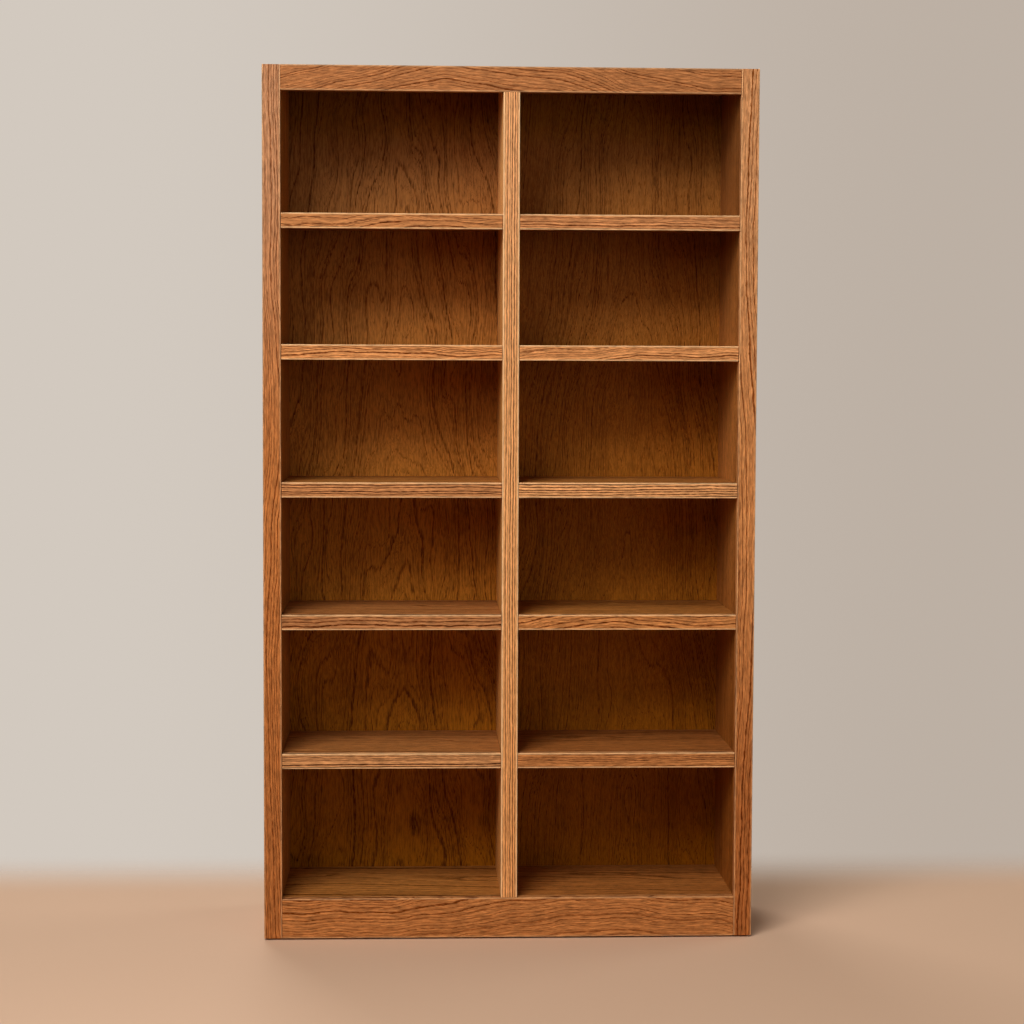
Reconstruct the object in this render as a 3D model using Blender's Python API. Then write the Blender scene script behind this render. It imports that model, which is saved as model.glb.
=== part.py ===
"""Double-column oak bookcase with ten adjustable shelves on concealed wire supports.

Metres, +Z up, front towards -Y. The origin is on the floor, under the middle of the case.
The carcass is fixed. Each shelf has two empties: its lift empty carries the two support wires,
which move up and down between rows of holes, and its pull empty carries the board and its nosing,
which slide forward off the wires.
"""

import math

import bmesh
import bpy

# Overall size
HEIGHT = 2.134
WIDTH = 1.204
DEPTH = 0.381

# Clearances
GAP = 0.0003
SHELF_END_GAP = 0.001
SHELF_BACK_GAP = 0.0015
SHELF_SETBACK = 0.001

# Face frame, solid oak
STILE_WIDTH = 0.044
CENTRE_WIDTH = 0.040
FRAME_THICKNESS = 0.020
TOP_RAIL_HEIGHT = 0.061
FRAME_EASE = 0.0012

# Panels
FLOOR_CLEARANCE = 0.004
DECK_TOP = 0.1025
BOARD_THICKNESS = 0.019
INNER_DEPTH = 0.3555
BACK_THICKNESS = 0.006
HOUSING_DEPTH = 0.008
REBATE_DEPTH = 0.010
HANGING_RAIL_HEIGHT = 0.090
PANEL_EASE = 0.0008

# Shelves, top to bottom
SHELF_TOPS = (1.780, 1.463, 1.128, 0.804, 0.462)
NOSING_HEIGHT = 0.037
NOSING_THICKNESS = 0.020

# Support wires and the holes and grooves that take them
WIRE_RADIUS = 0.0014
WIRE_STANDOFF = 0.0045
WIRE_BEND = 0.003
WIRE_BEND_STEPS = 2
LEG_DEPTH = 0.010
FRONT_LEG_INSET = 0.060
REAR_LEG_INSET = 0.040
HOLE_RADIUS = 0.00175
HOLE_DEPTH = 0.011
HOLE_SIDES = 6
HOLE_PITCH = 0.032
ROWS_EACH_WAY = 3
GROOVE_HEIGHT = 0.0038
GROOVE_DEPTH = 0.0065

# Glides under the four corners
GLIDE_RADIUS = 0.012
GLIDE_FOOT_RADIUS = 0.011
GLIDE_SIDES = 24
GLIDE_SMOOTH_DEGREES = 40
GLIDE_INSET = 0.030

# Places that follow from the dimensions
FRONT = -DEPTH / 2
REAR = DEPTH / 2
CASE_FRONT = FRONT + FRAME_THICKNESS + GAP
BACK_FACE = FRONT + INNER_DEPTH
BACK_FRONT = BACK_FACE + GAP
BACK_REAR = BACK_FRONT + BACK_THICKNESS
RAIL_FRONT = BACK_REAR + GAP
INNER_SIDE = WIDTH / 2 - STILE_WIDTH
HALF_CENTRE = CENTRE_WIDTH / 2
TOP_UNDERSIDE = HEIGHT - BOARD_THICKNESS
FRONT_LEG_Y = FRONT + FRONT_LEG_INSET
REAR_LEG_Y = BACK_FACE - REAR_LEG_INSET
WIRE_DROP = BOARD_THICKNESS / 2
COLUMNS = {"left": (-INNER_SIDE, -HALF_CENTRE), "right": (HALF_CENTRE, INNER_SIDE)}


def clear_scene():
    """Remove every object, so that the script starts from nothing."""
    for thing in list(bpy.data.objects):
        bpy.data.objects.remove(thing, do_unlink=True)


def make_material(name, colour, roughness, metallic=0.0):
    """A plain Principled material."""
    material = bpy.data.materials.new(name)
    material.use_nodes = True
    shader = material.node_tree.nodes["Principled BSDF"]
    shader.inputs["Base Color"].default_value = (*colour, 1.0)
    shader.inputs["Roughness"].default_value = roughness
    shader.inputs["Metallic"].default_value = metallic
    return material


def link(name, data, location, parent=None):
    """A new object in the scene, at a place given in its parent's space."""
    thing = bpy.data.objects.new(name, data)
    bpy.context.collection.objects.link(thing)
    thing.location = location
    thing.parent = parent
    return thing


def mesh_of(name, shape, material=None):
    """A mesh from a bmesh, with its material."""
    mesh = bpy.data.meshes.new(name)
    shape.to_mesh(mesh)
    shape.free()
    if material:
        mesh.materials.append(material)
    return mesh


def block(low, high):
    """A bmesh box between two corners."""
    shape = bmesh.new()
    bmesh.ops.create_cube(shape, size=1.0)
    for vertex in shape.verts:
        for axis in range(3):
            middle = (low[axis] + high[axis]) / 2
            vertex.co[axis] = middle + vertex.co[axis] * (high[axis] - low[axis])
    return shape


def add_board(name, low, high, material, ease, parent=None):
    """A rectangular piece with eased edges. Its origin is at its middle."""
    middle = [(a + b) / 2 for a, b in zip(low, high)]
    half = [(b - a) / 2 for a, b in zip(low, high)]
    mesh = mesh_of(name, block([-h for h in half], half), material)
    origin = parent.matrix_world.translation if parent else (0.0, 0.0, 0.0)
    piece = link(name, mesh, [m - o for m, o in zip(middle, origin)], parent)
    add_ease(piece, ease)
    return piece


def add_ease(piece, width):
    """Round the piece's arrises."""
    bevel = piece.modifiers.new("ease", "BEVEL")
    bevel.width = width
    bevel.segments = 2
    bevel.limit_method = "ANGLE"


def cut(piece, cutter_name, shape):
    """Cut a bmesh, given in world space, out of a carcass piece."""
    cutter = link(cutter_name, mesh_of(cutter_name, shape), (0.0, 0.0, 0.0))
    cutter.hide_render = True
    cutter.display_type = "WIRE"
    difference = piece.modifiers.new(cutter_name, "BOOLEAN")
    difference.operation = "DIFFERENCE"
    difference.solver = "EXACT"
    difference.object = cutter


def hole_heights():
    """Every row's height: each shelf has a group of rows around its present place."""
    rows = range(-ROWS_EACH_WAY, ROWS_EACH_WAY + 1)
    return [top - WIRE_DROP + row * HOLE_PITCH for top in SHELF_TOPS for row in rows]


def holes(face_x, inward):
    """Blind holes bored into a panel from the face at face_x. inward is +1 or -1, into the wood."""
    shape = bmesh.new()
    length = 2 * HOLE_DEPTH
    for height in hole_heights():
        for leg_y in (FRONT_LEG_Y, REAR_LEG_Y):
            new = bmesh.ops.create_cone(
                shape, cap_ends=True, segments=HOLE_SIDES,
                radius1=HOLE_RADIUS, radius2=HOLE_RADIUS, depth=length,
            )
            for vertex in new["verts"]:
                x, y, z = vertex.co
                vertex.co = (face_x + inward * (HOLE_DEPTH - length / 2) + z, leg_y + y, height - x)
    return shape


def build_side(side, material):
    """An outer side: housed for the top and the deck, rebated for the back, bored for supports."""
    sign = -1.0 if side == "left" else 1.0
    inner, outer = sign * INNER_SIDE, sign * WIDTH / 2
    low = (min(inner, outer), CASE_FRONT, FLOOR_CLEARANCE)
    high = (max(inner, outer), REAR, HEIGHT)
    piece = add_board(f"{side}_side_panel", low, high, material, PANEL_EASE)
    past = inner - sign * STILE_WIDTH

    def slot(depth, y_low, z_low, z_high):
        reach = inner + sign * depth
        return block((min(past, reach), y_low, z_low), (max(past, reach), REAR + DEPTH, z_high))

    cut(piece, f"{side}_top_housing", slot(HOUSING_DEPTH, FRONT, TOP_UNDERSIDE - GAP, HEIGHT + DEPTH))
    cut(piece, f"{side}_back_rebate", slot(REBATE_DEPTH, BACK_FACE, -DEPTH, HEIGHT + DEPTH))
    deck = block(
        (min(past, inner + sign * HOUSING_DEPTH), FRONT, DECK_TOP - BOARD_THICKNESS - GAP),
        (max(past, inner + sign * HOUSING_DEPTH), BACK_FACE + GAP, DECK_TOP + GAP),
    )
    cut(piece, f"{side}_deck_housing", deck)
    cut(piece, f"{side}_side_holes", holes(inner, sign))


def build_divider(material):
    """The upright between the columns, housed for both decks and bored on both faces."""
    low = (-HALF_CENTRE, CASE_FRONT, FLOOR_CLEARANCE)
    high = (HALF_CENTRE, BACK_FACE, TOP_UNDERSIDE - GAP)
    piece = add_board("centre_divider", low, high, material, PANEL_EASE)
    for side, sign in (("left", -1.0), ("right", 1.0)):
        floor = sign * (HALF_CENTRE - HOUSING_DEPTH)
        past = sign * CENTRE_WIDTH
        deck = block(
            (min(floor, past), FRONT, DECK_TOP - BOARD_THICKNESS - GAP),
            (max(floor, past), REAR, DECK_TOP + GAP),
        )
        cut(piece, f"divider_{side}_housing", deck)
        cut(piece, f"divider_{side}_holes", holes(sign * HALF_CENTRE, -sign))


def build_horizontals(material):
    """The top, and a deck at the foot of each column."""
    reach = INNER_SIDE + HOUSING_DEPTH - GAP
    add_board("top_panel", (-reach, CASE_FRONT, TOP_UNDERSIDE), (reach, REAR, HEIGHT), material, PANEL_EASE)
    near = HALF_CENTRE - HOUSING_DEPTH + GAP
    for side, sign in (("left", -1.0), ("right", 1.0)):
        low_x, high_x = sorted((sign * near, sign * reach))
        low = (low_x, CASE_FRONT, DECK_TOP - BOARD_THICKNESS)
        add_board(f"{side}_deck", low, (high_x, BACK_FACE, DECK_TOP), material, PANEL_EASE)


def build_face_frame(material):
    """Three stiles and two rails, butted together in front of the panels."""
    edge = WIDTH / 2
    rail_end = INNER_SIDE - GAP
    rail_foot = HEIGHT - TOP_RAIL_HEIGHT
    members = {
        "left_stile": ((-edge, FLOOR_CLEARANCE), (-INNER_SIDE, HEIGHT)),
        "right_stile": ((INNER_SIDE, FLOOR_CLEARANCE), (edge, HEIGHT)),
        "centre_stile": ((-HALF_CENTRE, DECK_TOP + GAP), (HALF_CENTRE, rail_foot - GAP)),
        "top_rail": ((-rail_end, rail_foot), (rail_end, HEIGHT)),
        "base_rail": ((-rail_end, FLOOR_CLEARANCE), (rail_end, DECK_TOP)),
    }
    for name, ((x_low, z_low), (x_high, z_high)) in members.items():
        low = (x_low, FRONT, z_low)
        high = (x_high, FRONT + FRAME_THICKNESS, z_high)
        add_board(name, low, high, material, FRAME_EASE)


def build_back(veneer, solid):
    """Two back panels that meet behind the divider, and the two rails behind them."""
    reach = INNER_SIDE + REBATE_DEPTH - GAP
    ceiling = TOP_UNDERSIDE - GAP
    for side, sign in (("left", -1.0), ("right", 1.0)):
        low_x, high_x = sorted((sign * GAP, sign * reach))
        low = (low_x, BACK_FRONT, FLOOR_CLEARANCE)
        add_board(f"{side}_back_panel", low, (high_x, BACK_REAR, ceiling), veneer, GAP)
    rails = {
        "hanging_rail": (ceiling - HANGING_RAIL_HEIGHT, ceiling),
        "rear_base_rail": (FLOOR_CLEARANCE, DECK_TOP),
    }
    for name, (foot, head) in rails.items():
        add_board(name, (-reach, RAIL_FRONT, foot), (reach, REAR, head), solid, PANEL_EASE)


def build_glides(material):
    """Four nylon glides that lift the case off the floor."""
    shape = bmesh.new()
    height = FLOOR_CLEARANCE - GAP
    bmesh.ops.create_cone(
        shape, cap_ends=True, segments=GLIDE_SIDES,
        radius1=GLIDE_FOOT_RADIUS, radius2=GLIDE_RADIUS, depth=height,
    )
    mesh = mesh_of("glide", shape, material)
    mesh.shade_smooth()
    mesh.set_sharp_from_angle(angle=math.radians(GLIDE_SMOOTH_DEGREES))
    x = WIDTH / 2 - STILE_WIDTH / 2
    front_y, rear_y = CASE_FRONT + GLIDE_INSET, BACK_FACE - GLIDE_INSET
    places = {
        "front_left_glide": (-x, front_y),
        "front_right_glide": (x, front_y),
        "rear_left_glide": (-x, rear_y),
        "rear_right_glide": (x, rear_y),
    }
    for name, (glide_x, glide_y) in places.items():
        link(name, mesh, (glide_x, glide_y, height / 2))


def wire_path():
    """One support wire in its own plane: x away from the panel's face, y towards the back."""
    half_length = (REAR_LEG_Y - FRONT_LEG_Y) / 2
    points = [(-LEG_DEPTH, -half_length)]
    for step in range(WIRE_BEND_STEPS + 1):
        angle = math.radians(90) * step / WIRE_BEND_STEPS
        x = WIRE_STANDOFF - WIRE_BEND * (1 - math.sin(angle))
        y = -half_length + WIRE_BEND * (1 - math.cos(angle))
        points.append((x, y))
    return points + [(x, -y) for x, y in reversed(points)]


def wire_curve(material):
    """The bent wire as a bevelled curve, shared by all twenty supports."""
    curve = bpy.data.curves.new("support_wire", "CURVE")
    curve.dimensions = "3D"
    curve.bevel_depth = WIRE_RADIUS
    curve.bevel_resolution = 2
    curve.use_fill_caps = True
    points = wire_path()
    spline = curve.splines.new("POLY")
    spline.points.add(len(points) - 1)
    for point, (x, y) in zip(spline.points, points):
        point.co = (x, y, 0.0, 1.0)
    spline.use_smooth = True
    curve.materials.append(material)
    return curve


def shelf_board_shape(half_width, half_depth):
    """A shelf board with a groove along each end, open at the ends, the front and the back."""
    half_height = BOARD_THICKNESS / 2
    half_groove = GROOVE_HEIGHT / 2
    waist = half_width - GROOVE_DEPTH
    outline = [
        (waist, half_groove), (half_width, half_groove), (half_width, half_height),
        (-half_width, half_height), (-half_width, half_groove), (-waist, half_groove),
        (-waist, -half_groove), (-half_width, -half_groove), (-half_width, -half_height),
        (half_width, -half_height), (half_width, -half_groove), (waist, -half_groove),
    ]
    shape = bmesh.new()
    corners = [shape.verts.new((x, -half_depth, z)) for x, z in outline]
    face = shape.faces.new(corners)
    drawn = bmesh.ops.extrude_face_region(shape, geom=[face])
    for item in drawn["geom"]:
        if isinstance(item, bmesh.types.BMVert):
            item.co.y = half_depth
    bmesh.ops.recalc_face_normals(shape, faces=shape.faces)
    return shape


def build_shelf(side, number, top, veneer, solid, wire):
    """One shelf: two wires on its lift empty, and the board and nosing on its pull empty."""
    face_low, face_high = COLUMNS[side]
    name = f"{side}_shelf_{number}"
    middle_x = (face_low + face_high) / 2
    middle_y = (FRONT_LEG_Y + REAR_LEG_Y) / 2
    wire_z = top - WIRE_DROP
    lift = link(f"{name}_lift", None, (middle_x, middle_y, wire_z))
    pull = link(f"{name}_pull", None, (0.0, 0.0, 0.0), lift)
    bpy.context.view_layer.update()

    half_clear = (face_high - face_low) / 2
    link(f"{name}_left_wire", wire, (-half_clear, 0.0, 0.0), lift)
    right_wire = link(f"{name}_right_wire", wire, (half_clear, 0.0, 0.0), lift)
    right_wire.rotation_euler = (0.0, math.pi, 0.0)

    half_width = half_clear - SHELF_END_GAP
    nosing_front = FRONT + SHELF_SETBACK
    nosing_rear = nosing_front + NOSING_THICKNESS
    board_front, board_rear = nosing_rear + GAP, BACK_FACE - SHELF_BACK_GAP
    shape = shelf_board_shape(half_width, (board_rear - board_front) / 2)
    board_y = (board_front + board_rear) / 2 - middle_y
    link(f"{name}_board", mesh_of(f"{name}_board", shape, veneer), (0.0, board_y, 0.0), pull)
    low = (middle_x - half_width, nosing_front, top - NOSING_HEIGHT)
    high = (middle_x + half_width, nosing_rear, top)
    add_board(f"{name}_nosing", low, high, solid, FRAME_EASE, pull)


def build():
    """The whole bookcase."""
    clear_scene()
    solid = make_material("solid_oak", (0.36, 0.15, 0.05), 0.42)
    veneer = make_material("oak_veneer", (0.29, 0.12, 0.04), 0.48)
    steel = make_material("spring_steel", (0.55, 0.56, 0.58), 0.30, 1.0)
    nylon = make_material("nylon", (0.05, 0.05, 0.05), 0.55)
    build_side("left", veneer)
    build_side("right", veneer)
    build_divider(veneer)
    build_horizontals(veneer)
    build_face_frame(solid)
    build_back(veneer, solid)
    build_glides(nylon)
    wire = wire_curve(steel)
    for side in COLUMNS:
        for index, top in enumerate(SHELF_TOPS):
            build_shelf(side, index + 1, top, veneer, solid, wire)


build()
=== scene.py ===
"""Looks of the double-column oak bookcase: wood, steel, nylon, the floor, the light and the camera.

Metres, +Z up, front towards -Y. Colours are linear. The grain of a solid board is a field in three
dimensions that the board's faces cut; a back panel has the flat figure of a veneer.
"""

import math

import bmesh
import bpy
from mathutils import Matrix, Vector


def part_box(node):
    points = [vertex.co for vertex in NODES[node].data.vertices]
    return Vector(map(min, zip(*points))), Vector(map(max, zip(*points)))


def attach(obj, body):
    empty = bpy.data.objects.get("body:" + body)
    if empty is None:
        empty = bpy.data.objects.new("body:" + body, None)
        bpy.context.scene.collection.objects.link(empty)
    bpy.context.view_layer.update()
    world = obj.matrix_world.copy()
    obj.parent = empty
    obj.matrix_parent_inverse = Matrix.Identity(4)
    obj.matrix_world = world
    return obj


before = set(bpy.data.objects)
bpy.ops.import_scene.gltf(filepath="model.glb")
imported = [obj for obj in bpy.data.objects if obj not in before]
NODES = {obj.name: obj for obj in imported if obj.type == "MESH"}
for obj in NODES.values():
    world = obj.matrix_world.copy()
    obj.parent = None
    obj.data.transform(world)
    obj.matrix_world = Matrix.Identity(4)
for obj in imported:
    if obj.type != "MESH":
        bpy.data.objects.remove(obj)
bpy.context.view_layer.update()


# ---------------------------------------------------------------- node helpers

class Tree:
    """Short names for the shader nodes that the materials use."""

    def __init__(self, tree):
        self.nodes = tree.nodes
        self.links = tree.links

    def add(self, kind, **settings):
        node = self.nodes.new(kind)
        for name, value in settings.items():
            setattr(node, name, value)
        return node

    def feed(self, socket, value):
        if isinstance(value, bpy.types.NodeSocket):
            self.links.new(value, socket)
        else:
            socket.default_value = value

    def math(self, operation, a, b=0.0, c=0.0, clamp=False):
        node = self.add("ShaderNodeMath", operation=operation, use_clamp=clamp)
        for socket, value in zip(node.inputs, (a, b, c)):
            self.feed(socket, value)
        return node.outputs[0]

    def vector(self, operation, a, b):
        node = self.add("ShaderNodeVectorMath", operation=operation)
        self.feed(node.inputs[0], a)
        self.feed(node.inputs[1], b)
        return node.outputs[0]

    def split(self, vector):
        node = self.add("ShaderNodeSeparateXYZ")
        self.feed(node.inputs[0], vector)
        return node.outputs

    def join(self, x, y, z):
        node = self.add("ShaderNodeCombineXYZ")
        for socket, value in zip(node.inputs, (x, y, z)):
            self.feed(socket, value)
        return node.outputs[0]

    def place(self, kind="Object"):
        return self.add("ShaderNodeTexCoord").outputs[kind]

    def noise(self, vector, detail=2.0, roughness=0.5):
        """A noise's outputs: Fac, and Color for three noises at once."""
        node = self.add("ShaderNodeTexNoise")
        node.inputs["Scale"].default_value = 1.0
        node.inputs["Detail"].default_value = detail
        node.inputs["Roughness"].default_value = roughness
        self.feed(node.inputs["Vector"], vector)
        return node.outputs

    def centred(self, value, amount):
        """A noise value (mean 0.5, mostly 0.25 to 0.75) moved to about -amount to +amount."""
        from_mean = self.math("SUBTRACT", value, 0.5)
        return self.math("MULTIPLY", from_mean, self.math("MULTIPLY", amount, 4.0))

    def spread(self, value, low, high, to_low=0.0, to_high=1.0):
        """A smooth step of value between low and high."""
        node = self.add("ShaderNodeMapRange", interpolation_type="SMOOTHSTEP")
        for socket, number in zip(node.inputs, (value, low, high, to_low, to_high)):
            self.feed(socket, number)
        return node.outputs[0]

    def mix(self, factor, a, b, blend="MIX"):
        node = self.add("ShaderNodeMix", data_type="RGBA", blend_type=blend)
        self.feed(node.inputs["Factor"], factor)
        self.feed(node.inputs["A"], a if isinstance(a, bpy.types.NodeSocket) else (*a, 1.0))
        self.feed(node.inputs["B"], b if isinstance(b, bpy.types.NodeSocket) else (*b, 1.0))
        return node.outputs["Result"]

    def bump(self, shader, height, strength, distance):
        node = self.add("ShaderNodeBump")
        node.inputs["Strength"].default_value = strength
        node.inputs["Distance"].default_value = distance
        self.feed(node.inputs["Height"], height)
        self.feed(shader.inputs["Normal"], node.outputs["Normal"])


def new_material(name):
    """A material's node tree and its Principled shader."""
    material = bpy.data.materials.new(name)
    material.use_nodes = True
    t = Tree(material.node_tree)
    return material, t, t.nodes["Principled BSDF"]


def new_group(name, inputs, outputs):
    """A node group with a Vector input, the given inputs with their defaults, and float outputs."""
    group = bpy.data.node_groups.new(name, "ShaderNodeTree")
    group.interface.new_socket("Vector", in_out="INPUT", socket_type="NodeSocketVector")
    for key, value in inputs:
        socket = group.interface.new_socket(key, in_out="INPUT", socket_type="NodeSocketFloat")
        socket.default_value = value
    for key in outputs:
        group.interface.new_socket(key, in_out="OUTPUT", socket_type="NodeSocketFloat")
    t = Tree(group)
    return group, t, t.add("NodeGroupInput").outputs


# ---------------------------------------------------------------- grain, shared by both groups

GRAIN_OUTPUTS = ("Line", "Streak", "Fibre", "Pore", "Tone")
SEED_STEPS = (3.71, 1.33)
# Noise rates to a metre, along the grain and across it
PORE_RATES = (95.0, 2300.0)
TONE_RATES = (1.4, 7.0)
PORE_SPAN = (0.60, 0.70)
PORES_OUTSIDE_LINES = 0.2


def seed_offset(t, seed):
    """Where in the noise a board with this seed lies."""
    x, y = (t.math("MULTIPLY", seed, step) for step in SEED_STEPS)
    return t.join(x, y, seed)


def stretcher(t, vector, offset):
    """A function that gives the place in the noise at a rate along the grain and one across it."""
    def stretched(along_rate, cross_rate):
        scaled = t.vector("MULTIPLY", vector, (along_rate, cross_rate, cross_rate))
        return t.vector("ADD", scaled, offset)
    return stretched


def bunched(t, rings, seed, rate, amount):
    """Ring numbers pushed to and fro, so that wide rings and narrow ones come in bunches."""
    push = t.noise(t.join(t.math("MULTIPLY", rings, rate), seed, 0.0), detail=1.0)["Fac"]
    return t.math("ADD", rings, t.centred(push, amount))


def ring_weight(t, rings, seed, least, span):
    """Each ring's own weight, from least to least + span."""
    each = t.add("ShaderNodeTexWhiteNoise", noise_dimensions="2D")
    t.feed(each.inputs["Vector"], t.join(t.math("FLOOR", rings), seed, 0.0))
    return t.math("MULTIPLY_ADD", each.outputs["Value"], span, least)


def finish_grain(t, stretched, line, streak, fibre):
    """Add the pores, which crowd in the ring lines, and the tone, and fill the group's outputs."""
    pore = t.spread(t.noise(stretched(*PORE_RATES), detail=1.0)["Fac"], *PORE_SPAN)
    crowd = t.math("MULTIPLY_ADD", line, 1.0 - PORES_OUTSIDE_LINES, PORES_OUTSIDE_LINES)
    pore = t.math("MULTIPLY", pore, crowd, clamp=True)
    tone = t.noise(stretched(*TONE_RATES), detail=2.0)["Fac"]
    out = t.add("NodeGroupOutput").inputs
    for name, value in zip(GRAIN_OUTPUTS, (line, streak, fibre, pore, tone)):
        t.feed(out[name], value)


# ---------------------------------------------------------------- solid oak

OAK_INPUTS = (
    ("Seed", 0.0),
    ("Pith Across", 0.0),
    ("Pith Depth", 0.05),
    ("Taper", 0.0),
    ("Bend", 0.0),
    ("Bend Rate", 5.0),
    ("Bend Phase", 0.0),
    ("Wander", 0.01),
    ("Wander Rate", 1.5),
    ("Warp", 0.003),
    ("Ring Width", 0.009),
    ("Line Width", 0.35),
    ("Fray", 0.10),
    ("Uneven", 0.8),
)
WARP_RATES = (2.2, 11.0)
RIPPLE_RATES = (22.0, 70.0)
RIPPLE_SHARE = 0.16
BUNCH_RATE = 0.37
FRAY_RATES = (50.0, 450.0)
RING_WEIGHTS = (0.5, 0.55)
LINE_RISE = 0.08
LINE_FALL_START = 0.45
FINE_TO_A_RING = 3.0
FINE_RISE = 0.25
FINE_FALL = (0.40, 0.80)
FINE_WEIGHTS = (0.0, 0.55)
BREAK_RATES = (70.0, 600.0)
BREAK_SPAN = (0.30, 0.55)
BROKEN_WEIGHT = 0.55
STREAK_RATES = (12.0, 190.0)
FIBRE_RATES = (38.0, 270.0)


def pith_line(t, given, along, offset):
    """Where the pith lies across and in depth: it bends, tapers and wanders along the board."""
    rate = t.math("MULTIPLY", along, given["Wander Rate"])
    wander = t.noise(t.vector("ADD", t.join(rate, 0.0, 0.0), offset), detail=2.0)["Color"]
    wander_across, wander_depth, _ = t.split(wander)
    turn = t.math("MULTIPLY_ADD", along, given["Bend Rate"], given["Bend Phase"])
    across = t.math("MULTIPLY_ADD", t.math("SINE", turn), given["Bend"], given["Pith Across"])
    across = t.math("ADD", across, t.centred(wander_across, given["Wander"]))
    depth = t.math("MULTIPLY_ADD", along, given["Taper"], given["Pith Depth"])
    depth = t.math("ADD", depth, t.centred(wander_depth, given["Wander"]))
    return across, depth


def oak_group():
    """The grain field. Vector is (along, across, depth) in metres from the board's middle.

    Rings are cylinders round a pith line that wanders along the board. A face cut far from the
    pith shows straight lines, and one cut near it shows cathedrals.
    """
    group, t, given = new_group("oak_grain", OAK_INPUTS, GRAIN_OUTPUTS)
    seed = given["Seed"]
    offset = seed_offset(t, seed)
    stretched = stretcher(t, given["Vector"], offset)

    along, across, depth = t.split(given["Vector"])
    pith_across, pith_depth = pith_line(t, given, along, offset)
    from_across = t.math("SUBTRACT", across, pith_across)
    from_depth = t.math("SUBTRACT", depth, pith_depth)
    squares = t.math("MULTIPLY", from_across, from_across)
    radius = t.math("SQRT", t.math("MULTIPLY_ADD", from_depth, from_depth, squares))
    warp = t.noise(stretched(*WARP_RATES), detail=1.3)["Fac"]
    radius = t.math("ADD", radius, t.centred(warp, given["Warp"]))
    ripple = t.noise(stretched(*RIPPLE_RATES), detail=2.0)["Fac"]
    ripple_size = t.math("MULTIPLY", given["Ring Width"], RIPPLE_SHARE)
    radius = t.math("ADD", radius, t.centred(ripple, ripple_size))

    rings = t.math("DIVIDE", radius, given["Ring Width"])
    rings = bunched(t, rings, seed, BUNCH_RATE, given["Uneven"])
    fray = t.noise(stretched(*FRAY_RATES), detail=2.0)["Fac"]
    rings = t.math("ADD", rings, t.centred(fray, given["Fray"]))
    phase = t.math("FRACT", rings)
    rise = t.spread(phase, 0.0, LINE_RISE)
    fall_start = t.math("MULTIPLY", given["Line Width"], LINE_FALL_START)
    fall = t.spread(phase, fall_start, given["Line Width"], 1.0, 0.0)
    line = t.math("MULTIPLY", rise, fall)
    line = t.math("MULTIPLY", line, ring_weight(t, rings, seed, *RING_WEIGHTS))

    fine_rings = t.math("MULTIPLY", rings, FINE_TO_A_RING)
    phase = t.math("FRACT", fine_rings)
    rise = t.spread(phase, 0.0, FINE_RISE)
    fine = t.math("MULTIPLY", rise, t.spread(phase, *FINE_FALL, 1.0, 0.0))
    fine = t.math("MULTIPLY", fine, ring_weight(t, fine_rings, seed, *FINE_WEIGHTS))
    line = t.math("MAXIMUM", line, fine)
    broken = t.noise(stretched(*BREAK_RATES), detail=1.0)["Fac"]
    line = t.math("MULTIPLY", line, t.spread(broken, *BREAK_SPAN, BROKEN_WEIGHT, 1.0))

    streak = t.noise(stretched(*STREAK_RATES), detail=3.0, roughness=0.6)["Fac"]
    fibre = t.noise(stretched(*FIBRE_RATES), detail=3.0, roughness=0.6)["Fac"]
    finish_grain(t, stretched, line, streak, fibre)
    return group


# ---------------------------------------------------------------- crown-cut veneer

VENEER_INPUTS = (
    ("Seed", 0.0),
    ("Spacing", 0.014),
    ("Warp", 0.05),
    ("Warp Across", 7.0),
    ("Warp Along", 3.0),
    ("Line Width", 0.0022),
    ("Strokes", 0.5),
    ("Heart", 0.0),
    ("Tilt", 0.1),
)
FIELD_INPUTS = ("Seed", "Warp", "Warp Across", "Warp Along", "Heart", "Tilt")
HEART_WIDTH = 0.022
WARP_SEED_STEP = 1.7
JAG = 0.009
JAG_RATES = (16.0, 430.0)
PROBE_ACROSS = 0.002
PROBE_ALONG = 0.004
LEAST_SLOPE = 0.35
VENEER_BUNCH_RATE = 0.41
VENEER_BUNCH = 0.8
VENEER_RIPPLE = 0.0010
VENEER_RIPPLE_RATES = (40.0, 160.0)
LINE_LEAD = 0.0004
MAIN_LINES = dict(density=1.0, least=0.45, span=0.55)
FINE_LINES = dict(density=3.0, least=0.0, span=0.70)
FINE_LINE_WIDTH = 0.55
LINE_RISE_SHARE = 0.3
LINE_FALL_SHARES = (0.5, 1.5)
STROKE_RATES = (55.0, 560.0)
STROKE_SPAN = (0.34, 0.56)
STROKE_GAP_WEIGHT = 0.30
VENEER_STREAK_RATES = (14.0, 230.0)
VENEER_FIBRE_RATES = (38.0, 290.0)
SHORT_STROKE_SPAN = (0.52, 0.66)


def field_group():
    """How far out from the heart of the tree a point of the veneer lies, warped by broad noise.

    It tilts along the grain, so its contours close over the heart as cathedral arches.
    """
    group, t, given = new_group("veneer_field", [(name, 0.0) for name in FIELD_INPUTS], ["Field"])
    along, across, _ = t.split(given["Vector"])
    seed = given["Seed"]
    place = t.join(t.math("MULTIPLY_ADD", along, given["Warp Along"], seed),
                   t.math("MULTIPLY", across, given["Warp Across"]),
                   t.math("MULTIPLY", seed, WARP_SEED_STEP))
    warp = t.centred(t.noise(place, detail=1.6, roughness=0.42)["Fac"], given["Warp"])
    from_heart = t.math("SUBTRACT", across, given["Heart"])
    arch = t.math("SQRT", t.math("MULTIPLY_ADD", from_heart, from_heart, HEART_WIDTH ** 2))
    field = t.math("ADD", t.math("MULTIPLY_ADD", along, given["Tilt"], arch), warp)
    t.feed(t.add("NodeGroupOutput").inputs["Field"], field)
    return group


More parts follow.
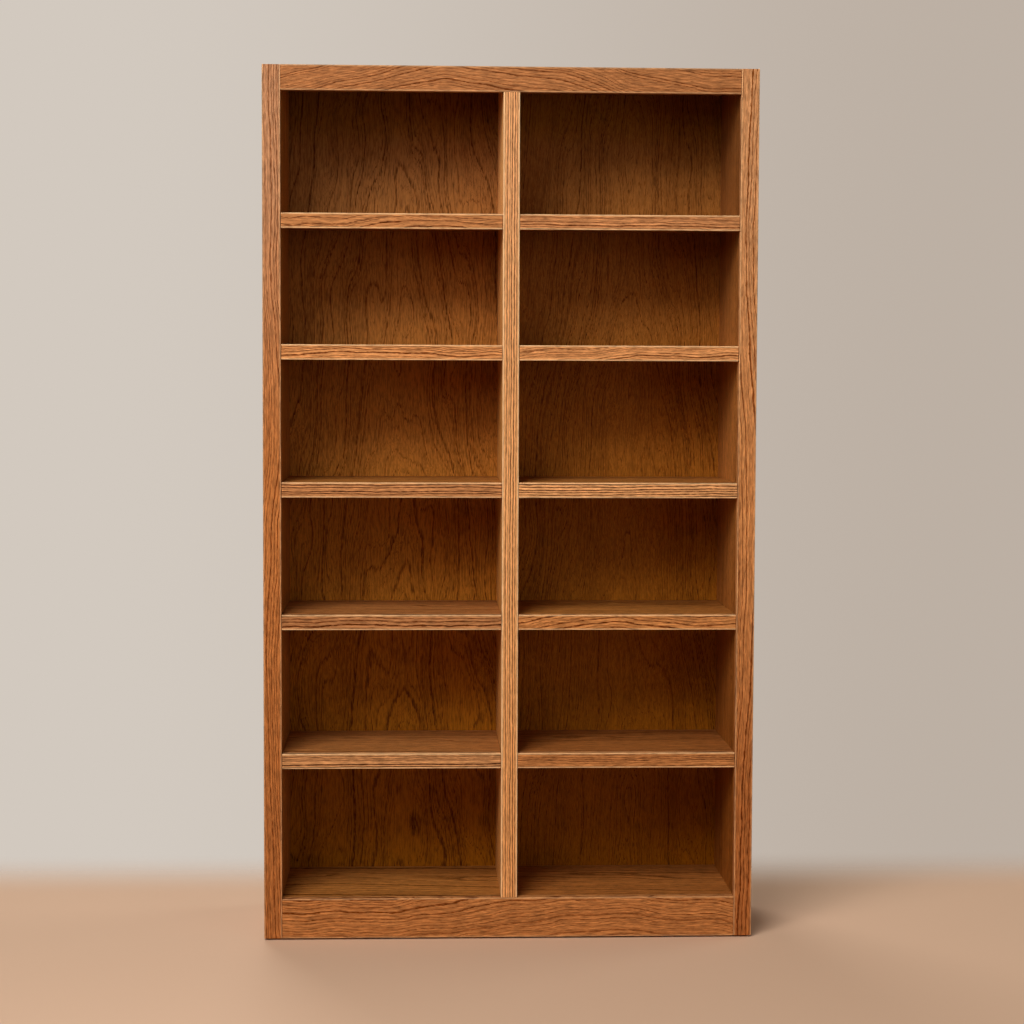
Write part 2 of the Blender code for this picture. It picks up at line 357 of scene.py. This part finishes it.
def veneer_group():
    """The figure of a crown-cut veneer: ring lines as contours of the field, of even width.

    Jagged places break the arches into short strokes. The outputs are the same as the oak group's,
    so either group can drive a board's material.
    """
    group, t, given = new_group("veneer_grain", VENEER_INPUTS, GRAIN_OUTPUTS)
    seed = given["Seed"]
    stretched = stretcher(t, given["Vector"], seed_offset(t, seed))
    field_tree = field_group()
    jag = t.centred(t.noise(stretched(*JAG_RATES), detail=1.5)["Fac"], JAG)
    jagged = t.vector("ADD", given["Vector"], t.join(jag, 0.0, 0.0))

    def field_at(shift):
        node = t.add("ShaderNodeGroup", node_tree=field_tree)
        t.feed(node.inputs["Vector"], t.vector("ADD", jagged, shift))
        for name in FIELD_INPUTS:
            t.feed(node.inputs[name], given[name])
        return node.outputs["Field"]

    field = field_at((0.0, 0.0, 0.0))

    def slope_towards(shift, distance):
        return t.math("DIVIDE", t.math("SUBTRACT", field_at(shift), field), distance)

    slope_across = slope_towards((0.0, PROBE_ACROSS, 0.0), PROBE_ACROSS)
    slope_along = slope_towards((PROBE_ALONG, 0.0, 0.0), PROBE_ALONG)
    along_square = t.math("MULTIPLY", slope_along, slope_along)
    slope = t.math("SQRT", t.math("MULTIPLY_ADD", slope_across, slope_across, along_square))
    ring_metres = t.math("DIVIDE", given["Spacing"], t.math("MAXIMUM", slope, LEAST_SLOPE))
    rings = t.math("DIVIDE", field, given["Spacing"])
    rings = bunched(t, rings, seed, VENEER_BUNCH_RATE, VENEER_BUNCH)
    ripple = t.centred(t.noise(stretched(*VENEER_RIPPLE_RATES), detail=2.0)["Fac"], VENEER_RIPPLE)
    lead = t.math("ADD", ripple, LINE_LEAD)

    def lines(width, density, least, span):
        """Lines, density of them to a ring. width is in metres, the same where rings part."""
        level = t.math("MULTIPLY", rings, density)
        beyond = t.math("DIVIDE", ring_metres, density)
        beyond = t.math("MULTIPLY", t.math("FRACT", level), beyond)
        beyond = t.math("ADD", beyond, lead)
        rise = t.spread(beyond, 0.0, t.math("MULTIPLY", width, LINE_RISE_SHARE))
        fall_start, fall_end = (t.math("MULTIPLY", width, share) for share in LINE_FALL_SHARES)
        fall = t.spread(beyond, fall_start, fall_end, 1.0, 0.0)
        weight = ring_weight(t, level, seed, least, span)
        return t.math("MULTIPLY", t.math("MULTIPLY", rise, fall), weight)

    fine_width = t.math("MULTIPLY", given["Line Width"], FINE_LINE_WIDTH)
    main = lines(given["Line Width"], **MAIN_LINES)
    line = t.math("MAXIMUM", main, lines(fine_width, **FINE_LINES))
    strokes = t.noise(stretched(*STROKE_RATES), detail=1.5)["Fac"]
    line = t.math("MULTIPLY", line, t.spread(strokes, *STROKE_SPAN, STROKE_GAP_WEIGHT, 1.0))
    streak = t.noise(stretched(*VENEER_STREAK_RATES), detail=3.0, roughness=0.6)["Fac"]
    fibre = t.noise(stretched(*VENEER_FIBRE_RATES), detail=3.0, roughness=0.65)["Fac"]
    short = t.math("MULTIPLY", t.spread(fibre, *SHORT_STROKE_SPAN), given["Strokes"])
    line = t.math("MAXIMUM", line, short)
    finish_grain(t, stretched, line, streak, fibre)
    return group


OAK = oak_group()
VENEER = veneer_group()


# ---------------------------------------------------------------- a board's material

# Which world axes run (along the grain, across the face, into the depth)
UPRIGHT = "zxy"
RAIL = "xzy"
SHELF = "xyz"
SIDE = "zyx"

ARRIS = 0.0046
ARRIS_CORE = 0.3 * ARRIS
# The long edges are lightened: partly wear, partly a painted highlight, as where an eased edge
# catches the light.
WORN_EDGE_AND_HIGHLIGHT = (0.95, 0.62, 0.33)
REAR_FACE_STEP = 0.001
REAR_FACE_SHADE = 0.9
UNTINTED = (1.0, 1.0, 1.0)
STREAK_SPAN = (0.38, 0.64)
TONE_SPAN = (0.3, 0.7)
PORE_COVER = 0.7
PORE_SHADE = 0.35
RUB_AND_HIGHLIGHT_SPAN = (0.3, 0.6)
LEAST_RUB_AND_HIGHLIGHT = 0.5
OAK_IOR = 1.45
OAK_SPECULAR = 0.10
OAK_ROUGHNESS = 0.42
LINE_ROUGHNESS = 0.16
FIBRE_ROUGHNESS = 0.14
LINE_RELIEF = -0.5
PORE_RELIEF = -0.8
FIBRE_RELIEF = 0.35
OAK_BUMP = dict(strength=0.35, distance=0.0006)


def board_vector(t, low, high, axes):
    """A place in the board as (along, across, depth) and as x, y, z, from the board's middle."""
    local = t.split(t.vector("SUBTRACT", t.place(), (low + high) / 2))
    return t.join(*[local["xyz".index(axis)] for axis in axes]), local


def arris(t, local, low, high, axes):
    """1 along the two pairs of long edges, where across and depth both run out, and 0 elsewhere."""
    half = (high - low) / 2
    rims = ["xyz".index(axis) for axis in axes[1:]]
    gaps = [t.math("SUBTRACT", half[i], t.math("ABSOLUTE", local[i])) for i in rims]
    return t.spread(t.math("MAXIMUM", *gaps), ARRIS_CORE, ARRIS, 1.0, 0.0)


def tinted_and_shaded(t, colour, tint_and_shade, height):
    """A colour times one colour factor, or times (height, colour) stops that blend smoothly into
    each other; the stops paint shade and light.
    """
    if isinstance(tint_and_shade[0], float):
        return [a * b for a, b in zip(colour, tint_and_shade)]
    shades = [(place, [a * b for a, b in zip(colour, stop)]) for place, stop in tint_and_shade]
    blend = shades[0][1]
    for (start, _), (end, shade) in zip(shades, shades[1:]):
        blend = t.mix(t.spread(height, start, end), blend, shade)
    return blend


def oak_colour(t, grain, wood, light, dark, rub_and_highlight):
    """Light wood darkened by streaks, tone and ring lines, then mottled and pitted; the long edges
    are lightened by wear and a painted highlight.
    """
    cover = t.math("MULTIPLY", t.spread(grain["Streak"], *STREAK_SPAN), wood["streak"])
    cover = t.math("MULTIPLY_ADD", t.spread(grain["Tone"], *TONE_SPAN), wood["tone"], cover)
    cover = t.math("MAXIMUM", cover, t.math("MULTIPLY", grain["Line"], wood["line"]), clamp=True)
    base = t.mix(cover, light, dark)
    fibre = t.math("MULTIPLY_ADD", grain["Fibre"], wood["fibre"], 1.0 - 0.5 * wood["fibre"])
    base = t.mix(1.0, base, t.join(fibre, fibre, fibre), blend="MULTIPLY")
    pit = t.math("MULTIPLY", grain["Pore"], PORE_COVER)
    base = t.mix(pit, base, [c * PORE_SHADE for c in wood["dark"]])
    # Painted highlight and wear along the long edges.
    rub_and_highlight = t.math("MULTIPLY", rub_and_highlight, t.spread(grain["Fibre"], *RUB_AND_HIGHLIGHT_SPAN, LEAST_RUB_AND_HIGHLIGHT, 1.0))
    return t.mix(t.math("MULTIPLY", rub_and_highlight, wood["edge"]), base, WORN_EDGE_AND_HIGHLIGHT)


def oak(name, low, high, axes, wood, figure, tint_and_shade):
    """One board's material. The last argument sets the board's colour against its kind of wood:
    one colour for a lying board, and height stops of painted shade and light for a standing one.

    A veneer's colour factor is for its front face: its rear face is bare plywood, a little darker.
    """
    material, t, shader = new_material(name)
    veneered = "Spacing" in figure
    vector, local = board_vector(t, low, high, axes)
    group = t.add("ShaderNodeGroup", node_tree=VENEER if veneered else OAK)
    t.feed(group.inputs["Vector"], vector)
    for key, value in figure.items():
        group.inputs[key].default_value = value
    grain = group.outputs
    height = t.split(t.place())[2]
    # Painted shade and light by height, where the board has height stops.
    light = tinted_and_shaded(t, wood["light"], tint_and_shade, height)
    dark = tinted_and_shaded(t, wood["dark"], tint_and_shade, height)
    if veneered:
        behind = t.spread(t.split(vector)[2], 0.0, REAR_FACE_STEP)
        light = t.mix(behind, light, [c * REAR_FACE_SHADE for c in wood["light"]])
        dark = t.mix(behind, dark, wood["dark"])
    rub_and_highlight = arris(t, local, low, high, axes)
    t.feed(shader.inputs["Base Color"], oak_colour(t, grain, wood, light, dark, rub_and_highlight))
    rough = t.math("MULTIPLY_ADD", grain["Line"], LINE_ROUGHNESS, OAK_ROUGHNESS)
    rough = t.math("MULTIPLY_ADD", grain["Fibre"], FIBRE_ROUGHNESS, rough)
    t.feed(shader.inputs["Roughness"], rough)
    shader.inputs["IOR"].default_value = OAK_IOR
    shader.inputs["Specular IOR Level"].default_value = OAK_SPECULAR
    relief = t.math("MULTIPLY", grain["Line"], LINE_RELIEF)
    relief = t.math("MULTIPLY_ADD", grain["Pore"], PORE_RELIEF, relief)
    relief = t.math("MULTIPLY_ADD", grain["Fibre"], FIBRE_RELIEF, relief)
    t.bump(shader, relief, **OAK_BUMP)
    return material


def dress(node, material):
    """Give a CAD node its material, in every slot."""
    thing = NODES[node]
    if not thing.material_slots:
        thing.data.materials.append(material)
    for slot in thing.material_slots:
        slot.material = material


# ---------------------------------------------------------------- woods and boards

# light is between the ring lines and dark in them; the rest are how strongly each mark shows.
# edge lightens the long edges: wear, and a painted highlight as where an eased edge catches the
# light.
FRAME_OAK = dict(light=(0.575, 0.240, 0.090), dark=(0.150, 0.030, 0.001), line=1.15, streak=0.30,
                 tone=0.10, fibre=2.0, edge=0.30)
NOSING_OAK = dict(FRAME_OAK, light=(0.655, 0.285, 0.105), dark=(0.110, 0.020, 0.000), line=1.3,
                  edge=0.75)
BOLD_OAK = dict(NOSING_OAK, light=(0.88, 0.42, 0.175), dark=(0.075, 0.012, 0.000), line=1.4,
                streak=0.20)
DIVIDER_OAK = dict(light=(0.86, 0.42, 0.175), dark=(0.085, 0.017, 0.000), line=1.25, streak=0.15,
                   tone=0.04, fibre=1.4, edge=0.95)
# The divider's faces: light wood like the centre stile's, lighter still as painted light where the
# face is lit near the front.
DIVIDER_FACE_OAK_AND_PAINTED_LIGHT = dict(DIVIDER_OAK, light=(0.92, 0.470, 0.190), dark=(0.240, 0.070, 0.012),
                        line=0.8)
PANEL_OAK = dict(light=(0.515, 0.207, 0.048), dark=(0.100, 0.022, 0.000), line=1.0, streak=0.26,
                 tone=0.10, fibre=2.2, edge=0.15)
BOLD_NOSINGS = ("left_shelf_3_nosing", "right_shelf_3_nosing", "left_shelf_5_nosing")

# Figures: what differs from figure_inputs' own values, for each visible board and each hidden kind.
FIGURES = {
    "left_stile": dict(pith=(0.30, 0.05), bend=(0.018, 4.1, 0.4), wander=(0.012, 2.2), warp=0.009,
                       ring=0.0076, line=0.44),
    "right_stile": dict(pith=(-0.30, 0.05), bend=(0.016, 3.7, 2.0), wander=(0.012, 2.0), warp=0.009,
                        ring=0.0080, line=0.44),
    "centre_stile": dict(pith=(0.60, 0.02), wander=(0.003, 1.0), warp=0.0006, ring=0.0058,
                         line=0.58, fray=0.03, uneven=0.3),
    "top_rail": dict(pith=(-0.16, 0.035), bend=(0.055, 4.8, 2.05), wander=(0.020, 3.2), warp=0.007,
                     ring=0.0068, line=0.44),
    "base_rail": dict(pith=(-0.20, 0.040), bend=(0.028, 5.2, 0.50), wander=(0.024, 2.8), warp=0.008,
                      ring=0.0092, line=0.44),
    "left_shelf_1_nosing": dict(pith=(0.12, 0.01), bend=(0.008, 9.0, 0.0), wander=(0.010, 6.0),
                                warp=0.010, ring=0.0120, line=0.34, uneven=0.5),
    "left_shelf_2_nosing": dict(pith=(0.20, 0.01), wander=(0.012, 4.0), warp=0.003, ring=0.0064),
    "left_shelf_3_nosing": dict(pith=(0.45, 0.01), wander=(0.006, 3.0), warp=0.0015, ring=0.0074,
                                line=0.55, fray=0.04),
    "left_shelf_4_nosing": dict(pith=(-0.20, 0.01), wander=(0.012, 3.0), warp=0.005, ring=0.0080),
    "left_shelf_5_nosing": dict(pith=(0.50, 0.01), wander=(0.005, 2.0), warp=0.0010, ring=0.0060,
                                line=0.60, fray=0.04),
    "right_shelf_1_nosing": dict(pith=(0.40, 0.01), wander=(0.008, 3.0), warp=0.002, ring=0.0056),
    "right_shelf_2_nosing": dict(pith=(-0.16, 0.01), bend=(0.020, 8.0, 0.6), wander=(0.016, 4.0),
                                 warp=0.004, ring=0.0066),
    "right_shelf_3_nosing": dict(pith=(0.60, 0.01), wander=(0.004, 2.0), warp=0.0006, ring=0.0064,
                                 line=0.60, fray=0.02, uneven=0.3),
    "right_shelf_4_nosing": dict(pith=(0.14, 0.01), bend=(0.014, 7.0, 1.2), wander=(0.016, 3.0),
                                 warp=0.006, ring=0.0086),
    "right_shelf_5_nosing": dict(pith=(-0.30, 0.01), wander=(0.010, 3.0), warp=0.003, ring=0.0066),
}
REAR_RAIL_FIGURE = dict(pith=(0.35, 0.05), wander=(0.02, 1.5), warp=0.005, ring=0.009)
SIDE_FIGURE = dict(pith=(0.03, 0.05), wander=(0.03, 1.1), warp=0.012, ring=0.013, taper=0.02)
SHELF_FIGURE = dict(pith=(0.05, 0.05), wander=(0.03, 1.5), warp=0.012, ring=0.013)
VENEER_FIGURES = {
    "left_back_panel": {
        "Seed": 58.0, "Spacing": 0.0108, "Line Width": 0.0042, "Strokes": 0.40,
        "Heart": 0.01, "Tilt": 0.13, "Warp": 0.046, "Warp Across": 9.5, "Warp Along": 2.8,
    },
    "right_back_panel": {
        "Seed": 7.0, "Spacing": 0.0095, "Line Width": 0.0030, "Strokes": 0.75,
        "Heart": 0.04, "Tilt": 0.11, "Warp": 0.034, "Warp Across": 9.5, "Warp Along": 2.4,
    },
}
# Tints: a lying board has one colour; a standing one has (height, colour) stops from the foot up.
# The stops paint shade and light: darker and redder at the foot, lighter higher up, and on the back
# panels and the right side darker again under the top.
TINTS_AND_PAINTED_SHADE = {
    # The stiles: painted shade at the foot and painted light towards the top.
    "left_stile": (
        (0.20, (0.86, 0.72, 0.52)), (1.10, (1.04, 0.89, 0.66)),
        (1.95, (0.96, 1.09, 1.43)),
    ),
    "right_stile": (
        (0.20, (0.85, 0.68, 0.48)), (1.10, (1.26, 1.25, 1.14)),
        (1.95, (1.33, 1.52, 1.77)),
    ),
    "centre_stile": (
        (0.20, (1.08, 1.00, 0.86)), (1.10, (1.15, 1.12, 1.05)),
        (1.95, (1.06, 1.05, 1.09)),
    ),
    "top_rail": (0.89, 0.86, 0.82),
    "base_rail": (1.00, 0.945, 0.78),
    "left_shelf_1_nosing": (0.97, 0.92, 0.87),
    "right_shelf_1_nosing": (1.10, 1.09, 1.15),
    "left_shelf_2_nosing": (1.28, 1.26, 1.22),
    "right_shelf_2_nosing": (1.34, 1.36, 1.38),
    "left_shelf_3_nosing": (0.79, 0.70, 0.62),
    "right_shelf_3_nosing": (1.15, 1.15, 1.10),
    "left_shelf_4_nosing": (0.89, 0.88, 0.91),
    "right_shelf_4_nosing": (1.14, 1.07, 0.93),
    "left_shelf_5_nosing": (0.79, 0.77, 0.73),
    "right_shelf_5_nosing": (0.96, 0.89, 0.78),
    "left_shelf_4_board": (1.03, 1.03, 1.33),
    "left_shelf_5_board": (1.00, 1.00, 1.26),
    "right_shelf_5_board": (0.89, 0.80, 0.87),
    "right_deck": (0.94, 0.85, 0.86),
    # The back panels: painted shade, darker and redder towards the floor and under the top.
    "left_back_panel": (
        (0.27, (0.84, 0.71, 0.10)), (0.62, (1.06, 0.94, 0.28)),
        (0.95, (1.22, 1.14, 0.57)), (1.28, (1.24, 1.20, 0.88)),
        (1.60, (1.12, 1.13, 1.03)), (1.96, (0.84, 0.89, 1.04)),
        (2.05, (0.65, 0.68, 0.41)),
    ),
    "right_back_panel": (
        (0.27, (0.79, 0.61, 0.04)), (0.62, (1.00, 0.85, 0.20)),
        (0.95, (1.05, 0.92, 0.34)), (1.28, (1.13, 1.02, 0.52)),
        (1.60, (1.08, 1.02, 0.74)), (1.96, (0.89, 0.89, 0.81)),
        (2.05, (0.77, 0.79, 0.32)),
    ),
    "right_side_panel": (
        (0.27, (0.78, 0.62, 0.41)), (1.28, (1.25, 1.20, 1.25)),
        (1.93, (0.77, 0.72, 0.81)),
    ),
    "centre_divider": (
        (0.27, (0.85, 0.75, 0.55)), (1.28, (0.92, 0.84, 0.57)),
        (1.93, (1.30, 1.30, 1.16)),
    ),
}


def figure_inputs(seed, pith, wander, warp, ring, bend=(0.0, 5.0, 0.0), taper=0.0, line=0.50,
                  fray=0.10, uneven=0.8):
    """A board's figure as the oak group's inputs."""
    return {
        "Seed": float(seed),
        "Pith Across": pith[0],
        "Pith Depth": pith[1],
        "Taper": taper,
        "Bend": bend[0],
        "Bend Rate": bend[1],
        "Bend Phase": bend[2],
        "Wander": wander[0],
        "Wander Rate": wander[1],
        "Warp": warp,
        "Ring Width": ring,
        "Line Width": line,
        "Fray": fray,
        "Uneven": uneven,
    }


def wood_of(node):
    """A wooden node's grain directions, wood and figure, or None for hardware."""
    if node in VENEER_FIGURES:
        return UPRIGHT, PANEL_OAK, VENEER_FIGURES[node]
    if node == "centre_stile":
        return UPRIGHT, DIVIDER_OAK, FIGURES[node]
    if node.endswith("stile"):
        return UPRIGHT, FRAME_OAK, FIGURES[node]
    if node in ("top_rail", "base_rail"):
        return RAIL, FRAME_OAK, FIGURES[node]
    if node.endswith("nosing"):
        return RAIL, BOLD_OAK if node in BOLD_NOSINGS else NOSING_OAK, FIGURES[node]
    if node in ("hanging_rail", "rear_base_rail"):
        return RAIL, PANEL_OAK, REAR_RAIL_FIGURE
    if node == "centre_divider":
        return SIDE, DIVIDER_FACE_OAK_AND_PAINTED_LIGHT, SIDE_FIGURE
    if node.endswith("side_panel"):
        return SIDE, PANEL_OAK, SIDE_FIGURE
    if node.endswith(("board", "deck", "top_panel")):
        return SHELF, PANEL_OAK, SHELF_FIGURE
    return None


def dress_boards():
    """Every wooden CAD node, in a fixed order. A solid board's seed is its place in that order."""
    for seed, node in enumerate(sorted(NODES)):
        looks = wood_of(node)
        if looks is None:
            continue
        axes, wood, figure = looks
        low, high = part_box(node)
        inputs = figure if node in VENEER_FIGURES else figure_inputs(seed, **figure)
        dress(node, oak(node, low, high, axes, wood, inputs, TINTS_AND_PAINTED_SHADE.get(node, UNTINTED)))


# ---------------------------------------------------------------- steel and nylon

SPECKLE_SPAN = (0.3, 0.7)
SPECKLE_SHADE = 0.7
SPECKLE_ROUGHNESS = 0.2
SPECKLE_BUMP = dict(strength=0.2, distance=0.0002)


def plain(name, colour, roughness, metallic, speckle_rate):
    """Steel and moulded nylon: a fine mottle in colour, gloss and surface."""
    material, t, shader = new_material(name)
    speckle = t.noise(t.vector("MULTIPLY", t.place(), [speckle_rate] * 3), detail=4.0)["Fac"]
    base = t.mix(t.spread(speckle, *SPECKLE_SPAN), colour, [c * SPECKLE_SHADE for c in colour])
    t.feed(shader.inputs["Base Color"], base)
    rough = t.math("MULTIPLY_ADD", speckle, SPECKLE_ROUGHNESS, roughness)
    t.feed(shader.inputs["Roughness"], rough)
    shader.inputs["Metallic"].default_value = metallic
    t.bump(shader, speckle, **SPECKLE_BUMP)
    return material


def dress_hardware():
    steel = plain("spring_steel", (0.62, 0.62, 0.64), roughness=0.22, metallic=1.0,
                  speckle_rate=900.0)
    nylon = plain("glide_nylon", (0.035, 0.032, 0.030), roughness=0.45, metallic=0.0,
                  speckle_rate=1500.0)
    for node in NODES:
        if node.endswith("wire"):
            dress(node, steel)
        elif node.endswith("glide"):
            dress(node, nylon)


# ---------------------------------------------------------------- screws in the back

SCREW_RADIUS = 0.0038
SCREW_RISE = 0.0011
SCREW_SINK = 0.0002
SCREW_SIDES = 24
RIM_LIFT = 0.35 * SCREW_RISE
DOME_LIFT = 0.85 * SCREW_RISE
DOME_RADIUS = 0.82 * SCREW_RADIUS
CROSS_REACH = 0.0021
CROSS_WIDTH = 0.0006
CROSS_DEPTH = 0.0008
TURN_FROM_SCREW_TO_SCREW = 0.9
PANEL_SCREW_INSET = 0.006
PANEL_SCREW_PITCH = 0.19


def circle(radius):
    steps = [2 * math.pi * step / SCREW_SIDES for step in range(SCREW_SIDES)]
    return [(radius * math.cos(angle), radius * math.sin(angle)) for angle in steps]


def cross():
    """The driver's cross: one arm's end and the corner beside it, repeated at each quarter turn."""
    points = [(CROSS_REACH, -CROSS_WIDTH), (CROSS_REACH, CROSS_WIDTH), (CROSS_WIDTH, CROSS_WIDTH)]
    for _ in range(3):
        points += [(-v, u) for u, v in points[-3:]]
    return points


def add_screw(shape, x, face_y, z, turn):
    """A domed cross-head screw on a face that looks towards +Y, closed below inside the wood."""
    cos, sin = math.cos(turn), math.sin(turn)

    def ring(points, lift):
        turned = [(x + u * cos - v * sin, face_y + lift, z + u * sin + v * cos) for u, v in points]
        return [shape.verts.new(place) for place in turned]

    def strip(lower, upper):
        for i in range(len(lower)):
            j = (i + 1) % len(lower)
            shape.faces.new((lower[i], lower[j], upper[j], upper[i]))

    foot = ring(circle(SCREW_RADIUS), -SCREW_SINK)
    rim = ring(circle(SCREW_RADIUS), RIM_LIFT)
    dome = ring(circle(DOME_RADIUS), DOME_LIFT)
    mouth = ring(cross(), SCREW_RISE)
    floor = ring(cross(), SCREW_RISE - CROSS_DEPTH)
    strip(foot, rim)
    strip(rim, dome)
    strip(mouth, floor)
    shape.faces.new(floor)
    shape.faces.new(list(reversed(foot)))
    edges = [shape.edges.get(pair) for loop in (dome, mouth)
             for pair in zip(loop, loop[1:] + loop[:1])]
    bmesh.ops.bridge_loops(shape, edges=edges)


def screw_places():
    """Screws down both long edges of each back panel, between the two rear rails."""
    foot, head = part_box("rear_base_rail")[1].z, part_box("hanging_rail")[0].z
    count = int((head - foot) / PANEL_SCREW_PITCH)
    heights = [foot + (head - foot) * (step + 0.5) / count for step in range(count)]
    places = []
    for node in ("left_back_panel", "right_back_panel"):
        low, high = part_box(node)
        for x in (low.x + PANEL_SCREW_INSET, high.x - PANEL_SCREW_INSET):
            places += [(x, high.y, z) for z in heights]
    return places


def make_screws():
    """The screws that hold the back, as one piece that belongs to the carcass."""
    shape = bmesh.new()
    for number, (x, face_y, z) in enumerate(screw_places()):
        add_screw(shape, x, face_y, z, turn=TURN_FROM_SCREW_TO_SCREW * number)
    bmesh.ops.recalc_face_normals(shape, faces=shape.faces)
    mesh = bpy.data.meshes.new("back_screws")
    shape.to_mesh(mesh)
    shape.free()
    zinc = plain("zinc_screw", (0.50, 0.48, 0.42), roughness=0.30, metallic=1.0,
                 speckle_rate=1200.0)
    mesh.materials.append(zinc)
    screws = bpy.data.objects.new("back_screws", mesh)
    bpy.context.collection.objects.link(screws)
    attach(screws, "carcass")


# ---------------------------------------------------------------- floor and backdrop

FLOOR_COLOUR = (0.70, 0.475, 0.34)
FLOOR_ROUGHNESS = 0.8
FLOOR_SPECULAR = 0.2
FLOOR_HALF_WIDTH = 2.4
FLOOR_FRONT = -2.2
FLOOR_BACK = 0.8
FLOOR_FADE = 0.5
ROOM_LIGHT = (0.046, 0.041, 0.022)
# The right side of the wall and the ground is darker: painted shade, as from a light on the left.
WALL_LEFT = (0.645, 0.584, 0.521)
SHADED_WALL_RIGHT = (0.505, 0.433, 0.370)
GROUND_LEFT = (0.610, 0.407, 0.275)
SHADED_GROUND_RIGHT = (0.491, 0.296, 0.181)
# The slopes of sight between which the backdrop turns from left to right, and from ground to wall
SIGHT_LEFT = -0.15
SIGHT_RIGHT = 0.25
GROUND_END = -0.262
WALL_START = -0.232


def make_floor():
    """A plain pale floor that fades out into the backdrop's own ground colour."""
    mesh = bpy.data.meshes.new("floor")
    corners = [(-FLOOR_HALF_WIDTH, FLOOR_FRONT, 0.0), (FLOOR_HALF_WIDTH, FLOOR_FRONT, 0.0),
               (FLOOR_HALF_WIDTH, FLOOR_BACK, 0.0), (-FLOOR_HALF_WIDTH, FLOOR_BACK, 0.0)]
    mesh.from_pydata(corners, [], [(0, 1, 2, 3)])
    floor = bpy.data.objects.new("floor", mesh)
    bpy.context.collection.objects.link(floor)
    material, t, shader = new_material("floor_pale")
    shader.inputs["Base Color"].default_value = (*FLOOR_COLOUR, 1.0)
    shader.inputs["Roughness"].default_value = FLOOR_ROUGHNESS
    shader.inputs["Specular IOR Level"].default_value = FLOOR_SPECULAR
    across, back, _ = t.split(t.place())
    inside = t.math("SUBTRACT", FLOOR_HALF_WIDTH, t.math("ABSOLUTE", across))
    inside = t.math("MINIMUM", inside, t.math("SUBTRACT", FLOOR_BACK, back))
    inside = t.math("MINIMUM", inside, t.math("SUBTRACT", back, FLOOR_FRONT))
    t.feed(shader.inputs["Alpha"], t.spread(inside, 0.0, FLOOR_FADE))
    mesh.materials.append(material)


def make_backdrop():
    """A wall over a ground, both seen by the camera only, painted darker to the right as shade.
    The scene gets a weak warm room light.
    """
    world = bpy.data.worlds.new("studio")
    bpy.context.scene.world = world
    world.use_nodes = True
    t = Tree(world.node_tree)
    background = t.nodes["Background"]
    seen = t.add("ShaderNodeLightPath").outputs["Is Camera Ray"]
    sight = t.split(t.place("Generated"))
    shade_to_right = t.spread(sight[0], SIGHT_LEFT, SIGHT_RIGHT)
    wall = t.mix(shade_to_right, WALL_LEFT, SHADED_WALL_RIGHT)
    ground = t.mix(shade_to_right, GROUND_LEFT, SHADED_GROUND_RIGHT)
    backdrop = t.mix(t.spread(sight[2], GROUND_END, WALL_START), ground, wall)
    t.feed(background.inputs["Color"], t.mix(seen, ROOM_LIGHT, backdrop))
    background.inputs["Strength"].default_value = 1.0


# ---------------------------------------------------------------- lights and camera

LAMP_COLOUR = (1.0, 0.95, 0.88)
LIT_POINT = (0.0, 0.0, 1.1)
# A large high softbox on the front left, a small one over the front, and weak fills all round:
# name, place, size in metres, power in watts
SOFTBOXES = (
    ("key", (-2.4, -5.6, 6.3), (3.4, 4.4), 355.0),
    ("near_key", (-1.0, -2.2, 3.3), (1.4, 1.4), 24.0),
    ("left_fill", (-3.5, -4.0, 3.0), (2.0, 2.0), 60.0),
    ("right_fill", (3.5, -5.0, 2.0), (2.5, 2.5), 33.0),
    ("back_fill", (-1.4, 4.2, 3.6), (2.4, 2.4), 110.0),
    ("side_fill", (4.4, 1.6, 2.8), (2.2, 2.2), 48.0),
)

# A little left of the middle at about chest height, turned 2.5 degrees to the right and 3.5 down
CAMERA_PLACE = (-0.228, -5.509, 1.3808)
CAMERA_YAW = 0.0436
CAMERA_PITCH = 0.0608
CAMERA_ROLL = 0.0039
CAMERA_LENS = 76.75
CAMERA_SENSOR = 36.0


def add_softbox(name, place, size, power):
    """A rectangular lamp at a place, turned to the middle of the bookcase."""
    data = bpy.data.lights.new(name, "AREA")
    data.shape = "RECTANGLE"
    data.size, data.size_y = size
    data.energy = power
    data.color = LAMP_COLOUR
    lamp = bpy.data.objects.new(name, data)
    lamp.visible_camera = False
    lamp.location = place
    lamp.rotation_euler = (Vector(LIT_POINT) - Vector(place)).to_track_quat("-Z", "Y").to_euler()
    bpy.context.collection.objects.link(lamp)


def make_camera():
    data = bpy.data.cameras.new("camera")
    data.sensor_width = CAMERA_SENSOR
    data.lens = CAMERA_LENS
    camera = bpy.data.objects.new("camera", data)
    bpy.context.collection.objects.link(camera)
    ahead = Vector((math.sin(CAMERA_YAW), math.cos(CAMERA_YAW), 0.0))
    forward = ahead * math.cos(CAMERA_PITCH) - Vector((0.0, 0.0, math.sin(CAMERA_PITCH)))
    level = Vector((math.cos(CAMERA_YAW), -math.sin(CAMERA_YAW), 0.0))
    up = level.cross(forward)
    right = level * math.cos(CAMERA_ROLL) + up * math.sin(CAMERA_ROLL)
    up = right.cross(forward)
    turn = Matrix((right, up, -forward)).transposed().to_4x4()
    camera.matrix_world = Matrix.Translation(CAMERA_PLACE) @ turn
    bpy.context.scene.camera = camera


# ---------------------------------------------------------------- the scene

make_camera()
dress_boards()
dress_hardware()
make_screws()
make_floor()
for softbox in SOFTBOXES:
    add_softbox(*softbox)
make_backdrop()
bpy.context.scene.view_settings.view_transform = "Standard"
